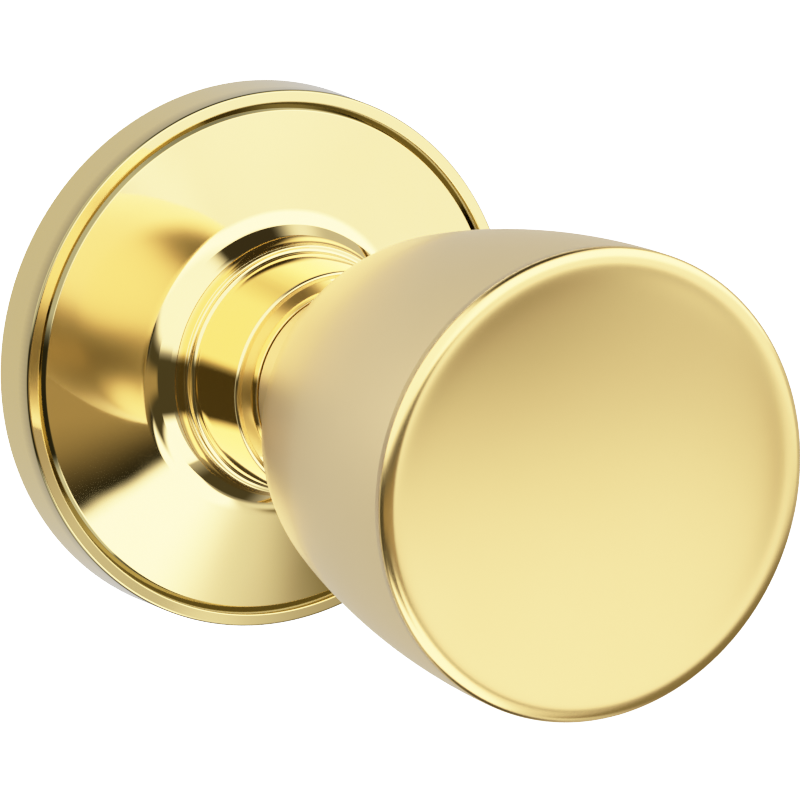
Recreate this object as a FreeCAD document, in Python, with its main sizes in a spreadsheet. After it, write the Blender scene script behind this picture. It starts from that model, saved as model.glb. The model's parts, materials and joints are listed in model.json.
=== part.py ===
import FreeCAD, Part
import math
import os
import re
import Sketcher

# A passage door knob: the half that sits on the outside of the door.
#
# Every piece is drawn standing on the door like work in a lathe: its own Z runs out of the
# door along the knob's axis, its Y points up and its height 0 is the door's surface. The
# placement FACING_OUT then lays that axis along -Y, with +Z up and the origin at the centre
# of the rose's back. Lengths are millimetres and angles are degrees.

os.makedirs("parts", exist_ok=True)
doc = FreeCAD.newDocument("door_knob")

FACING_OUT = FreeCAD.Placement(FreeCAD.Vector(0, 0, 0), FreeCAD.Rotation(FreeCAD.Vector(1, 0, 0), 90))

SIZES = [
    # Clearances
    ("running_clearance", 0.05),
    ("seat_clearance", 0.02),
    ("end_clearance", 0.1),
    # Rose: a drawn brass cover
    ("rose_radius", 32.5),
    ("rose_rim_taper", 0.15),
    ("rose_cover_gap", 0.27),
    ("rose_wall", 0.8),
    ("rose_edge_round", 0.3),
    ("border_rise", 0.15),
    ("border_width", 1.45),
    ("groove_width", 1.0),
    ("groove_depth", 0.8),
    ("face_slope", 10.4),
    ("eye_fillet", 4.3),
    # Neck sleeve: a turned brass sleeve with a thin foot that stands on the rose
    ("foot_height", 0.6),
    ("foot_round", 0.25),
    ("foot_fillet", 0.55),
    ("foot_reach", 0.85),
    ("sleeve_wall", 0.86),
    ("sleeve_taper", 0.55),
    ("sleeve_height", 10.35),
    ("sleeve_top_round", 0.4),
    ("sleeve_top_wall", 0.8),
    ("sleeve_shelf", 1.8),
    ("nose_rise", 0.35),
    ("nose_clearance", 0.2),
    # Bearing hub, bush and thrust ring
    ("hub_wall", 2.5),
    ("hub_flange_reach", 1.85),
    ("hub_flange_height", 0.9),
    ("bush_wall", 1.15),
    ("thrust_ring_step", 0.08),
    ("thrust_ring_height", 1.1),
    ("thrust_ring_clearance", 0.2),
    # Mounting plate
    ("plate_gap", 0.3),
    ("plate_thickness", 1.6),
    ("plate_eye_gap", 1.5),
    ("stop_width", 6.0),
    ("stop_rise", 3.0),
    # Threaded posts
    ("post_spacing", 38.0),
    ("post_radius", 3.5),
    ("post_length", 18.0),
    ("post_collar_step", 0.3),
    ("post_head_reach", 0.7),
    ("post_head_height", 0.8),
    ("post_thread_radius", 1.65),
    ("post_mouth_chamfer", 0.4),
    # Spring housing: a stepped steel cup
    ("housing_wall", 0.8),
    ("tray_gap", 0.4),
    ("tray_height", 4.8),
    ("spigot_wall", 0.63),
    ("anchor_width", 4.0),
    ("anchor_depth", 1.05),
    ("anchor_gap", 0.25),
    # Rivets
    ("rivet_count", 4),
    ("rivet_edge", 0.25),
    ("rivet_radius", 1.2),
    ("rivet_head_radius", 2.0),
    ("rivet_head_height", 0.7),
    # Return spring
    ("spring_inner_gap", 0.35),
    ("spring_outer_gap", 0.45),
    ("spring_coil_gap", 0.2),
    ("spring_wire_radius", 0.6),
    ("spring_turns", 2),
    ("spring_leg_gap", 0.5),
    ("spring_end_gap", 0.15),
    # Driver: the slotted disc on the back of the shank
    ("driver_rim", 0.15),
    ("driver_thickness", 1.3),
    ("driver_lift", 1.1),
    ("lug_width", 4.0),
    ("lug_depth", 1.1),
    ("ear_reach", 2.8),
    ("ear_width", 20.0),
    ("turn_limit", 55.0),
    ("stop_clearance", 0.6),
    # Knob shank
    ("shank_radius", 9.0),
    ("shank_wall", 1.5),
    ("shank_tail", 1.0),
    ("shank_flange_gap", 0.2),
    ("shank_flange_height", 1.2),
    ("flat_depth", 0.8),
    ("clip_groove_depth", 1.0),
    ("clip_thickness", 0.7),
    ("clip_reach", 2.0),
    ("ring_groove_depth", 0.5),
    ("ring_thickness", 0.7),
    ("ring_reach", 1.7),
    ("washer_thickness", 0.5),
    ("ring_opening", 4.0),
    # Spindle
    ("spindle_width", 8.0),
    ("spindle_tail", 45.0),
    ("spindle_chamfer", 1.0),
    ("spindle_hub_start", 2.2),
    ("spindle_hub_length", 12.0),
    ("spindle_pin_radius", 1.25),
    ("spindle_pin_height", 11.0),
    # Knob shell
    ("knob_gap", 0.25),
    ("knob_length", 57.243),
    ("knob_neck_length", 5.06),
    ("knob_wall", 1.0),
    ("knob_neck_step", 0.2),
    ("knob_neck_round", 0.2),
    ("knob_neck_fillet", 7.0),
    ("mouth_radius", 26.85),
    ("mouth_slope", 0.4),
    ("shoulder_slope", 14.5),
    ("shoulder_arc", 21.4),
    # Knob face
    ("seam", 0.06),
    ("lip_width", 2.35),
    ("lip_rise", 0.65),
    ("lip_arc", 1.6),
    ("dish_depth", 1.6),
    ("face_wall", 0.9),
    ("skirt_depth", 3.2),
    ("skirt_wall", 0.9),
    # Knob core and face backing
    ("backing_thickness", 1.4),
    ("backing_gap", 0.3),
    ("core_radius", 9.5),
    ("core_wall", 1.0),
    ("core_flange_height", 1.2),
    ("core_head_radius", 18.0),
]

sheet = doc.addObject("Spreadsheet::Sheet", "Sizes")
for row, (alias, value) in enumerate(SIZES, start=1):
    sheet.set(f"A{row}", alias)
    sheet.set(f"B{row}", str(value))
    sheet.setAlias(f"B{row}", alias)
doc.recompute()

ALIASES = {alias for alias, value in SIZES} | {"body_arc"}

# Radii that follow from a piece inside or outside them.
FRONT_RADIUS = "(rose_radius - rose_rim_taper)"
GROOVE_OUTER = f"({FRONT_RADIUS} - border_width)"
GROOVE_INNER = f"({GROOVE_OUTER} - groove_width)"
BUSH_RADIUS = "(shank_radius + running_clearance + bush_wall)"
SHANK_BORE = "(shank_radius - shank_wall)"
SLEEVE_BORE = f"({BUSH_RADIUS} + hub_wall + 2 * seat_clearance)"
SLEEVE_TOP_RADIUS = f"({SLEEVE_BORE} + sleeve_wall)"
SLEEVE_BASE_RADIUS = f"({SLEEVE_TOP_RADIUS} + sleeve_taper)"
EYE_RADIUS = f"({SLEEVE_BASE_RADIUS} + foot_reach)"
NOSE_RADIUS = f"({SLEEVE_TOP_RADIUS} - sleeve_shelf)"
NECK_RADIUS = f"({NOSE_RADIUS} - knob_neck_step)"
PLATE_EYE = "(shank_radius + clip_reach + plate_eye_gap)"
SPIGOT_RADIUS = f"({BUSH_RADIUS} + seat_clearance + spigot_wall)"
SPRING_RADIUS = f"({SPIGOT_RADIUS} + spring_inner_gap + spring_wire_radius)"
LUG_INNER = f"({SPRING_RADIUS} + spring_wire_radius + spring_outer_gap)"
LUG_OUTER = f"({LUG_INNER} + lug_depth)"
DRIVER_RADIUS = f"({LUG_OUTER} + driver_rim)"
EAR_RADIUS = f"({DRIVER_RADIUS} + ear_reach)"
ANCHOR_INNER = f"({DRIVER_RADIUS} + anchor_gap)"
DOME_BORE = f"({ANCHOR_INNER} + anchor_depth)"
DOME_RADIUS = f"({DOME_BORE} + housing_wall)"
POST_COLLAR = "(post_radius + post_collar_step)"
POST_HEAD = "(post_radius + post_head_reach)"
TRAY_BORE = f"(post_spacing / 2 + {POST_HEAD} + tray_gap)"
TRAY_RADIUS = f"({TRAY_BORE} + housing_wall)"
RIVET_CIRCLE = f"({TRAY_RADIUS} + rivet_head_radius + rivet_edge)"
HOUSING_RADIUS = f"({RIVET_CIRCLE} + rivet_head_radius + rivet_edge)"
RING_RADIUS = "(shank_radius + ring_reach)"
SHANK_FLANGE = f"({NECK_RADIUS} - knob_wall - shank_flange_gap)"
FLAT_DISTANCE = "(shank_radius - flat_depth)"
SPRING_PITCH = "(2 * spring_wire_radius + spring_coil_gap)"

# The return spring's two legs stand either side of the driver's lug.
LEG_ACROSS = "(lug_width / 2 + spring_wire_radius + end_clearance)"
LEG_ANGLE = f"(asin({LEG_ACROSS} / {SPRING_RADIUS}) / 1deg)"
COIL_TURNS = f"(spring_turns - {LEG_ANGLE} / 180)"

# Heights above the door, each written from the piece below it.
TRAY_TOP = "(plate_thickness + tray_height)"
DRIVER_BACK = "(plate_thickness + driver_lift)"
DRIVER_TOP = f"({DRIVER_BACK} + driver_thickness)"
COIL_START = f"({DRIVER_TOP} + spring_end_gap + spring_wire_radius)"
COIL_END = f"({COIL_START} + {SPRING_PITCH} * {COIL_TURNS})"
HUB_BACK = f"({COIL_END} + spring_wire_radius + spring_end_gap)"
DOME_TOP = f"({HUB_BACK} + housing_wall)"
COVER_ACROSS = f"({EYE_RADIUS} + eye_fillet - {DOME_RADIUS})"
COVER_DROP = f"sqrt((eye_fillet + rose_wall) ^ 2 - {COVER_ACROSS} ^ 2)"
EYE_TOP = f"({DOME_TOP} + rose_cover_gap + {COVER_DROP})"
CONE_FOOT = f"({EYE_RADIUS} + eye_fillet * (1 - sin(face_slope * 1deg)))"
CONE_TOP = f"({EYE_TOP} - eye_fillet * cos(face_slope * 1deg))"
ROSE_RIM = f"({CONE_TOP} - ({GROOVE_INNER} - {CONE_FOOT}) * tan(face_slope * 1deg))"
SLEEVE_TOP = f"({EYE_TOP} + sleeve_height)"
NOSE_TOP = f"({SLEEVE_TOP} + nose_rise)"
THRUST_TOP = f"({NOSE_TOP} + thrust_ring_height)"
KNOB_START = f"({THRUST_TOP} + knob_gap)"
WASHER_BACK = f"({HUB_BACK} - washer_thickness)"
RING_TOP = f"({WASHER_BACK} - end_clearance)"
RING_BACK = f"({RING_TOP} - ring_thickness)"
CLIP_TOP = f"({DRIVER_BACK} - end_clearance)"
CLIP_BACK = f"({CLIP_TOP} - clip_thickness)"
FLANGE_TOP = f"({KNOB_START} + knob_wall + shank_flange_height)"

# The knob shell's outside runs up a straight neck, round a hollow fillet, over a tight
# shoulder arc and along a long body arc to the mouth, each tangent to the next.
FILLET_ACROSS = f"({NECK_RADIUS} + knob_neck_fillet)"
FILLET_REACH = "(shoulder_arc + knob_neck_fillet)"

# The body arc has the one radius that brings the mouth to the knob's length: the fillet and
# the shoulder still touch, so the distance between their centres gives a quadratic in it.
INWARD_START = f"({FILLET_ACROSS} - mouth_radius + shoulder_arc * cos(shoulder_slope * 1deg))"
INWARD_RATE = "(cos(mouth_slope * 1deg) - cos(shoulder_slope * 1deg))"
CLIMB_START = "(knob_length - knob_neck_length + shoulder_arc * sin(shoulder_slope * 1deg))"
CLIMB_RATE = "(sin(shoulder_slope * 1deg) - sin(mouth_slope * 1deg))"
SQUARE_TERM = f"({INWARD_RATE} ^ 2 + {CLIMB_RATE} ^ 2)"
HALF_TERM = f"({CLIMB_START} * {CLIMB_RATE} - {INWARD_START} * {INWARD_RATE})"
LAST_TERM = f"({INWARD_START} ^ 2 + {CLIMB_START} ^ 2 - {FILLET_REACH} ^ 2)"
ROOT_TERM = f"sqrt({HALF_TERM} ^ 2 - {SQUARE_TERM} * {LAST_TERM})"
ARC_ROW = len(SIZES) + 1
sheet.set(f"A{ARC_ROW}", "body_arc")
sheet.set(f"B{ARC_ROW}", f"=({HALF_TERM} - {ROOT_TERM}) / {SQUARE_TERM}")
sheet.setAlias(f"B{ARC_ROW}", "body_arc")
doc.recompute()

BODY_ACROSS = "(mouth_radius - body_arc * cos(mouth_slope * 1deg))"
SHOULDER_ACROSS = f"({BODY_ACROSS} + (body_arc - shoulder_arc) * cos(shoulder_slope * 1deg))"
FILLET_UP = f"({KNOB_START} + knob_neck_length)"
SHOULDER_UP = f"({FILLET_UP} + sqrt({FILLET_REACH} ^ 2 - ({FILLET_ACROSS} - {SHOULDER_ACROSS}) ^ 2))"
BODY_UP = f"({SHOULDER_UP} + (body_arc - shoulder_arc) * sin(shoulder_slope * 1deg))"
JOIN_ACROSS = f"({BODY_ACROSS} + body_arc * cos(shoulder_slope * 1deg))"
JOIN_UP = f"({BODY_UP} - body_arc * sin(shoulder_slope * 1deg))"
KNOB_MOUTH = f"({KNOB_START} + knob_length)"

FACE_SEAT = f"({KNOB_MOUTH} + seam)"
LIP_INNER = "(mouth_radius - lip_width)"
DISH_RIM = f"({FACE_SEAT} + lip_rise)"
DISH_CENTRE = f"({DISH_RIM} - dish_depth)"
DISH_ARC = f"(({LIP_INNER} ^ 2 + dish_depth ^ 2) / (2 * dish_depth))"
BACKING_TOP = f"({DISH_CENTRE} - face_wall - backing_gap)"
BACKING_BACK = f"({BACKING_TOP} - backing_thickness)"


def bound(text):
    """The same expression with every size read from the sheet."""
    return re.sub(r"[a-z_]{3,}", lambda word: f"Sizes.{word[0]}" if word[0] in ALIASES else word[0], text)


def size(text):
    """The present value of an expression."""
    return float(sheet.evalExpression(bound(text)))


def bind(target, prop, text):
    target.setExpression(prop, bound(text))


def new_body(name):
    body = doc.addObject("PartDesign::Body", name)
    body.Label = name
    body.Placement = FACING_OUT
    return body


def new_sketch(body, name, plane="XY_Plane", height="0", turn="0", across="0"):
    """A sketch on one of the body's own planes, lifted, turned and shifted by bound values."""
    sketch = body.newObject("Sketcher::SketchObject", name)
    origin_plane = next(item for item in body.Origin.OriginFeatures if item.Role == plane)
    sketch.AttachmentSupport = [(origin_plane, "")]
    sketch.MapMode = "FlatFace"
    bind(sketch, ".AttachmentOffset.Base.x", across)
    bind(sketch, ".AttachmentOffset.Base.z", height)
    bind(sketch, ".AttachmentOffset.Rotation.Angle", turn)
    return sketch


def hold_point(sketch, edge, end, across, up):
    """Fix one end of an edge at two bound distances from the sketch's origin."""
    for direction, text, axis in (("DistanceX", across, -2), ("DistanceY", up, -1)):
        if text == "0":
            sketch.addConstraint(Sketcher.Constraint("PointOnObject", edge, end, axis))
            continue
        index = sketch.addConstraint(Sketcher.Constraint(direction, edge, end, size(text)))
        bind(sketch, f"Constraints[{index}]", text)


def arc_between(start, finish, radius, side):
    """The short arc from start to finish with its centre to the left or right of the way along."""
    chord = finish - start
    middle = (start + finish) * 0.5
    rise = math.sqrt(radius ** 2 - chord.Length ** 2 / 4)
    normal = FreeCAD.Vector(-chord.y, chord.x, 0).normalize()
    centre = middle + normal * (rise if side == "left" else -rise)
    first, last = (start, finish) if side == "left" else (finish, start)
    angle_first = math.atan2(first.y - centre.y, first.x - centre.x)
    angle_last = math.atan2(last.y - centre.y, last.x - centre.x)
    circle = Part.Circle(centre, FreeCAD.Vector(0, 0, 1), radius)
    return Part.ArcOfCircle(circle, angle_first, angle_last)


def draw_outline(sketch, outline):
    """A closed outline. A corner is (across, up); a third and fourth value make the edge that
    arrives there an arc, with its radius and the side of its centre."""
    points = [FreeCAD.Vector(size(corner[0]), size(corner[1]), 0) for corner in outline]
    edges = []
    for index, corner in enumerate(outline):
        start, finish = points[index - 1], points[index]
        if len(corner) == 2:
            edges.append((sketch.addGeometry(Part.LineSegment(start, finish), False), 1, 2))
            continue
        edge = sketch.addGeometry(arc_between(start, finish, size(corner[2]), corner[3]), False)
        ends = (1, 2) if corner[3] == "left" else (2, 1)
        edges.append((edge, *ends))
        radius = sketch.addConstraint(Sketcher.Constraint("Radius", edge, size(corner[2])))
        bind(sketch, f"Constraints[{radius}]", corner[2])
    for index, corner in enumerate(outline):
        edge, begin, end = edges[index]
        following, following_begin, following_end = edges[(index + 1) % len(edges)]
        sketch.addConstraint(Sketcher.Constraint("Coincident", edge, end, following, following_begin))
        hold_point(sketch, edge, end, corner[0], corner[1])


def draw_circle(sketch, radius, across="0", up="0"):
    centre = FreeCAD.Vector(size(across), size(up), 0)
    circle = sketch.addGeometry(Part.Circle(centre, FreeCAD.Vector(0, 0, 1), size(radius)), False)
    index = sketch.addConstraint(Sketcher.Constraint("Radius", circle, size(radius)))
    bind(sketch, f"Constraints[{index}]", radius)
    hold_point(sketch, circle, 3, across, up)


def box_outline(left, right, low, high):
    return [(left, low), (right, low), (right, high), (left, high)]


def revolve(body, name, outline, across="0"):
    """Turn an outline of (radius, height) corners about the sketch's upright axis."""
    sketch = new_sketch(body, f"{name}_outline", "XZ_Plane", across=across)
    draw_outline(sketch, outline)
    turned = body.newObject("PartDesign::Revolution", name)
    turned.Profile = sketch
    turned.ReferenceAxis = (sketch, ["V_Axis"])
    turned.Angle = 360
    return turned


def draw_sector(sketch, inner, outer, width):
    """A sector of a ring about the sketch's X axis, width degrees wide, straight on its inside."""
    across = f"cos({width} / 2 * 1deg)"
    upward = f"sin({width} / 2 * 1deg)"
    draw_outline(sketch, [
        (f"({inner}) * {across}", f"-({inner}) * {upward}"),
        (f"({outer}) * {across}", f"-({outer}) * {upward}"),
        (f"({outer}) * {across}", f"({outer}) * {upward}", outer, "left"),
        (f"({inner}) * {across}", f"({inner}) * {upward}"),
    ])


def turned_piece(name, outline, across="0"):
    body = new_body(name)
    revolve(body, f"{name}_turning", outline, across)
    return body


def ring_piece(name, inner, outer, low, high):
    return turned_piece(name, [(inner, low), (outer, low), (outer, high), (inner, high)])


def pad(body, name, sketch, length):
    feature = body.newObject("PartDesign::Pad", name)
    feature.Profile = sketch
    bind(feature, "Length", length)
    return feature


def cut_through(body, name, sketch):
    """Cut a sketch right through, both ways, and make sure that it has removed something."""
    doc.recompute()
    before = body.Shape.Volume
    feature = body.newObject("PartDesign::Pocket", name)
    feature.Profile = sketch
    feature.Type = "ThroughAll"
    feature.Midplane = True
    doc.recompute()
    if body.Shape.Volume >= before:
        raise RuntimeError(f"{name} cuts nothing")
    return feature


def around(body, name, feature, count):
    """Repeat a feature evenly about the knob's axis."""
    pattern = body.newObject("PartDesign::PolarPattern", name)
    pattern.Originals = [feature]
    axis = next(item for item in body.Origin.OriginFeatures if item.Role == "Z_Axis")
    pattern.Axis = (axis, [""])
    pattern.Angle = 360
    bind(pattern, "Occurrences", count)
    body.Tip = pattern
    return pattern


# ---------------------------------------------------------------- the rose and its neck

def make_rose():
    rim = "(rose_radius - rose_wall)"
    lid = f"({ROSE_RIM} - groove_depth - rose_wall)"
    inner_arc = "(eye_fillet + rose_wall)"
    arc_centre = f"({EYE_RADIUS} + eye_fillet)"
    cone_inner_rim = f"({GROOVE_INNER} - rose_wall * tan(face_slope / 2 * 1deg))"
    return turned_piece("rose", [
        (rim, "0"),
        ("rose_radius", "0"),
        (FRONT_RADIUS, f"{ROSE_RIM} - rose_edge_round"),
        (f"{FRONT_RADIUS} - rose_edge_round", ROSE_RIM, "rose_edge_round", "left"),
        (GROOVE_OUTER, f"{ROSE_RIM} + border_rise"),
        (GROOVE_OUTER, f"{ROSE_RIM} - groove_depth"),
        (GROOVE_INNER, ROSE_RIM),
        (CONE_FOOT, CONE_TOP),
        (EYE_RADIUS, EYE_TOP, "eye_fillet", "right"),
        (f"{SLEEVE_BORE} + seat_clearance", EYE_TOP),
        (f"{SLEEVE_BORE} + seat_clearance", f"{EYE_TOP} - rose_wall"),
        (f"{arc_centre} - sqrt({inner_arc} ^ 2 - rose_wall ^ 2)", f"{EYE_TOP} - rose_wall"),
        (f"{CONE_FOOT} - rose_wall * sin(face_slope * 1deg)",
         f"{CONE_TOP} - rose_wall * cos(face_slope * 1deg)", inner_arc, "left"),
        (cone_inner_rim, lid),
        (rim, lid),
    ])


def make_neck_sleeve():
    foot_top = f"({EYE_TOP} + foot_height)"
    return turned_piece("neck_sleeve", [
        (SLEEVE_BORE, EYE_TOP),
        (EYE_RADIUS, EYE_TOP),
        (EYE_RADIUS, f"{foot_top} - foot_round"),
        (f"{EYE_RADIUS} - foot_round", foot_top, "foot_round", "left"),
        (f"{SLEEVE_BASE_RADIUS} + foot_fillet", foot_top),
        (SLEEVE_BASE_RADIUS, f"{foot_top} + foot_fillet", "foot_fillet", "right"),
        (SLEEVE_TOP_RADIUS, f"{SLEEVE_TOP} - sleeve_top_round"),
        (f"{SLEEVE_TOP_RADIUS} - sleeve_top_round", SLEEVE_TOP, "sleeve_top_round", "left"),
        (NOSE_RADIUS, NOSE_TOP),
        ("shank_radius + nose_clearance", NOSE_TOP),
        ("shank_radius + nose_clearance", f"{SLEEVE_TOP} - sleeve_top_wall"),
        (SLEEVE_BORE, f"{SLEEVE_TOP} - sleeve_top_wall"),
    ])


def make_bearing_hub():
    bore = f"({BUSH_RADIUS} + seat_clearance)"
    flange_top = f"({DOME_TOP} + hub_flange_height)"
    return turned_piece("bearing_hub", [
        (bore, HUB_BACK),
        (SPIGOT_RADIUS, HUB_BACK),
        (SPIGOT_RADIUS, DOME_TOP),
        (f"{SLEEVE_BORE} + hub_flange_reach", DOME_TOP),
        (f"{SLEEVE_BORE} + hub_flange_reach", flange_top),
        (f"{SLEEVE_BORE} - seat_clearance", flange_top),
        (f"{SLEEVE_BORE} - seat_clearance", f"{SLEEVE_TOP} - sleeve_top_wall"),
        (bore, f"{SLEEVE_TOP} - sleeve_top_wall"),
    ])


def make_bearing_bush():
    return ring_piece("bearing_bush", "shank_radius + running_clearance", BUSH_RADIUS,
                      HUB_BACK, f"{SLEEVE_TOP} - sleeve_top_wall")


def make_thrust_ring():
    return ring_piece("thrust_ring", "shank_radius + thrust_ring_clearance",
                      f"{NOSE_RADIUS} - thrust_ring_step", NOSE_TOP, THRUST_TOP)


# ---------------------------------------------------------------- what the rose hides

def make_mounting_plate():
    body = new_body("mounting_plate")
    revolve(body, "plate_disc", [
        (PLATE_EYE, "0"),
        ("rose_radius - rose_wall - plate_gap", "0"),
        ("rose_radius - rose_wall - plate_gap", "plate_thickness"),
        (PLATE_EYE, "plate_thickness"),
    ])
    post_holes = new_sketch(body, "post_hole_circles")
    draw_circle(post_holes, f"{POST_COLLAR} + seat_clearance", "post_spacing / 2")
    draw_circle(post_holes, f"{POST_COLLAR} + seat_clearance", "-post_spacing / 2")
    cut_through(body, "post_holes", post_holes)
    rivet_hole = new_sketch(body, "rivet_hole_circle")
    draw_circle(rivet_hole, "rivet_radius + seat_clearance", RIVET_CIRCLE)
    around(body, "rivet_holes", cut_through(body, "rivet_hole", rivet_hole), "rivet_count")
    swing = "(ear_width / 2 + turn_limit + stop_clearance + stop_width / 2)"
    for side, turn in (("left", f"270 - {swing}"), ("right", f"270 + {swing}")):
        sketch = new_sketch(body, f"{side}_stop_outline", height="plate_thickness", turn=turn)
        draw_sector(sketch, f"{DRIVER_RADIUS} + anchor_depth", f"{EAR_RADIUS} + anchor_gap", "stop_width")
        pad(body, f"{side}_stop", sketch, "stop_rise")
    return body


def make_mounting_posts():
    """Two tapped posts that hang from the plate into the door, each headed over the plate."""
    body = new_body("mounting_posts")
    body.AllowCompound = True
    post = revolve(body, "post", [
        ("post_thread_radius", "-post_length + post_mouth_chamfer"),
        ("post_thread_radius + post_mouth_chamfer", "-post_length"),
        ("post_radius - post_mouth_chamfer", "-post_length"),
        ("post_radius", "-post_length + post_mouth_chamfer"),
        ("post_radius", "0"),
        (POST_COLLAR, "0"),
        (POST_COLLAR, "plate_thickness"),
        (POST_HEAD, "plate_thickness"),
        (POST_HEAD, "plate_thickness + post_head_height"),
        ("post_thread_radius", "plate_thickness + post_head_height"),
    ], across="post_spacing / 2")
    around(body, "both_posts", post, "2")
    return body


def make_spring_housing():
    """A flanged tray with a dome that the spring coils in, and a lug that the spring rests on."""
    body = new_body("spring_housing")
    flange_top = "(plate_thickness + housing_wall)"
    roof = f"({TRAY_TOP} - housing_wall)"
    revolve(body, "housing_cup", [
        (TRAY_BORE, "plate_thickness"),
        (HOUSING_RADIUS, "plate_thickness"),
        (HOUSING_RADIUS, flange_top),
        (TRAY_RADIUS, flange_top),
        (TRAY_RADIUS, TRAY_TOP),
        (DOME_RADIUS, TRAY_TOP),
        (DOME_RADIUS, DOME_TOP),
        (f"{SPIGOT_RADIUS} + seat_clearance", DOME_TOP),
        (f"{SPIGOT_RADIUS} + seat_clearance", HUB_BACK),
        (DOME_BORE, HUB_BACK),
        (DOME_BORE, roof),
        (TRAY_BORE, roof),
    ])
    rivet_hole = new_sketch(body, "rivet_hole_circle")
    draw_circle(rivet_hole, "rivet_radius + seat_clearance", RIVET_CIRCLE)
    around(body, "rivet_holes", cut_through(body, "rivet_hole", rivet_hole), "rivet_count")
    anchor = new_sketch(body, "anchor_outline", height=f"{DRIVER_TOP} + end_clearance")
    draw_outline(anchor, box_outline("-anchor_width / 2", "anchor_width / 2",
                                     ANCHOR_INNER, f"{DOME_BORE} + housing_wall / 2"))
    pad(body, "anchor", anchor, f"{HUB_BACK} - {DRIVER_TOP} - end_clearance")
    return body


def make_housing_rivets():
    body = new_body("housing_rivets")
    body.AllowCompound = True
    flange_top = "(plate_thickness + housing_wall)"
    crown = "(rivet_head_radius ^ 2 / (2 * rivet_head_height) + rivet_head_height / 2)"
    rivet = revolve(body, "rivet", [
        ("0", "0"),
        ("rivet_radius", "0"),
        ("rivet_radius", flange_top),
        ("rivet_head_radius", flange_top),
        ("0", f"{flange_top} + rivet_head_height", crown, "left"),
    ], across=RIVET_CIRCLE)
    around(body, "all_rivets", rivet, "rivet_count")
    return body


def make_return_spring():
    """A torsion spring: a coil of round wire whose two straight legs stand either side of the lug."""
    leg_foot = f"sqrt({SPRING_RADIUS} ^ 2 - {LEG_ACROSS} ^ 2)"
    helix = doc.addObject("Part::Helix", "spring_helix")
    bind(helix, "Pitch", SPRING_PITCH)
    bind(helix, "Height", f"{SPRING_PITCH} * {COIL_TURNS}")
    bind(helix, "Radius", SPRING_RADIUS)
    section = doc.addObject("Part::Circle", "spring_wire_section")
    bind(section, "Radius", "spring_wire_radius")
    across_the_wire = FreeCAD.Rotation(FreeCAD.Vector(1, 0, 0), 90)
    section.Placement = FreeCAD.Placement(FreeCAD.Vector(), across_the_wire)
    bind(section, ".Placement.Base.x", SPRING_RADIUS)
    doc.recompute()
    coil = doc.addObject("Part::Sweep", "spring_coil")
    coil.Sections = [section]
    coil.Spine = (helix, ["Edge1"])
    coil.Solid = True
    coil.Frenet = True
    bind(coil, ".Placement.Base.z", COIL_START)
    bind(coil, ".Placement.Rotation.Angle", f"90 + {LEG_ANGLE}")
    pieces = [coil]
    legs = (("first", f"-{LEG_ACROSS}", COIL_START), ("last", LEG_ACROSS, COIL_END))
    for name, across, height in legs:
        bend = doc.addObject("Part::Sphere", f"{name}_bend")
        bind(bend, "Radius", "spring_wire_radius")
        leg = doc.addObject("Part::Cylinder", f"{name}_leg")
        bind(leg, "Radius", "spring_wire_radius")
        bind(leg, "Height", f"{DOME_BORE} - spring_leg_gap - {leg_foot}")
        upward = FreeCAD.Rotation(FreeCAD.Vector(1, 0, 0), -90)
        leg.Placement = FreeCAD.Placement(FreeCAD.Vector(), upward)
        for item in (bend, leg):
            bind(item, ".Placement.Base.x", across)
            bind(item, ".Placement.Base.y", leg_foot)
            bind(item, ".Placement.Base.z", height)
        pieces += [bend, leg]
    spring = doc.addObject("Part::MultiFuse", "return_spring")
    spring.Shapes = pieces
    spring.Label = "return_spring"
    spring.Placement = FACING_OUT
    return spring


# ---------------------------------------------------------------- what turns with the knob

def draw_double_flat(sketch, radius, half_flat):
    """A round outline with two opposite flats."""
    corner = f"sqrt({radius} ^ 2 - {half_flat} ^ 2)"
    draw_outline(sketch, [
        (half_flat, f"-{corner}", radius, "left"),
        (half_flat, corner),
        (f"-{half_flat}", corner, radius, "left"),
        (f"-{half_flat}", f"-{corner}"),
    ])


def make_driver_plate():
    """The disc that the shank turns: a lug at the top moves a spring leg, an ear below meets the stops."""
    body = new_body("driver_plate")
    disc = new_sketch(body, "disc_outline", height=DRIVER_BACK)
    draw_circle(disc, DRIVER_RADIUS)
    pad(body, "disc", disc, "driver_thickness")
    ear = new_sketch(body, "ear_outline", height=DRIVER_BACK, turn="270")
    draw_sector(ear, f"{DRIVER_RADIUS} - lug_depth", EAR_RADIUS, "ear_width")
    pad(body, "ear", ear, "driver_thickness")
    lug = new_sketch(body, "lug_outline", height=DRIVER_BACK)
    draw_outline(lug, box_outline("-lug_width / 2", "lug_width / 2", LUG_INNER, LUG_OUTER))
    pad(body, "lug", lug, f"{HUB_BACK} - 2 * spring_end_gap - {DRIVER_BACK}")
    hole = new_sketch(body, "shank_hole_outline")
    draw_double_flat(hole, "(shank_radius + seat_clearance)", f"({FLAT_DISTANCE} + seat_clearance)")
    cut_through(body, "shank_hole", hole)
    return body


def open_ring(name, inner, outer, low, high, turn):
    """A retaining ring: a flat ring with an opening on one side."""
    body = new_body(name)
    revolve(body, f"{name}_band", [(inner, low), (outer, low), (outer, high), (inner, high)])
    opening = new_sketch(body, f"{name}_opening_outline", turn=turn)
    draw_outline(opening, box_outline("0", f"{outer} + end_clearance", "-ring_opening / 2",
                                      "ring_opening / 2"))
    cut_through(body, f"{name}_opening", opening)
    return body


def make_driver_clip():
    return open_ring("driver_clip", "shank_radius - clip_groove_depth + seat_clearance",
                     "(shank_radius + clip_reach)",
                     CLIP_BACK, CLIP_TOP, "0")


def make_retaining_ring():
    return open_ring("retaining_ring", "shank_radius - ring_groove_depth + seat_clearance", RING_RADIUS,
                     RING_BACK, RING_TOP, "270")


def make_wave_washer():
    return ring_piece("wave_washer", "shank_radius + thrust_ring_clearance", RING_RADIUS,
                      WASHER_BACK, HUB_BACK)


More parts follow.
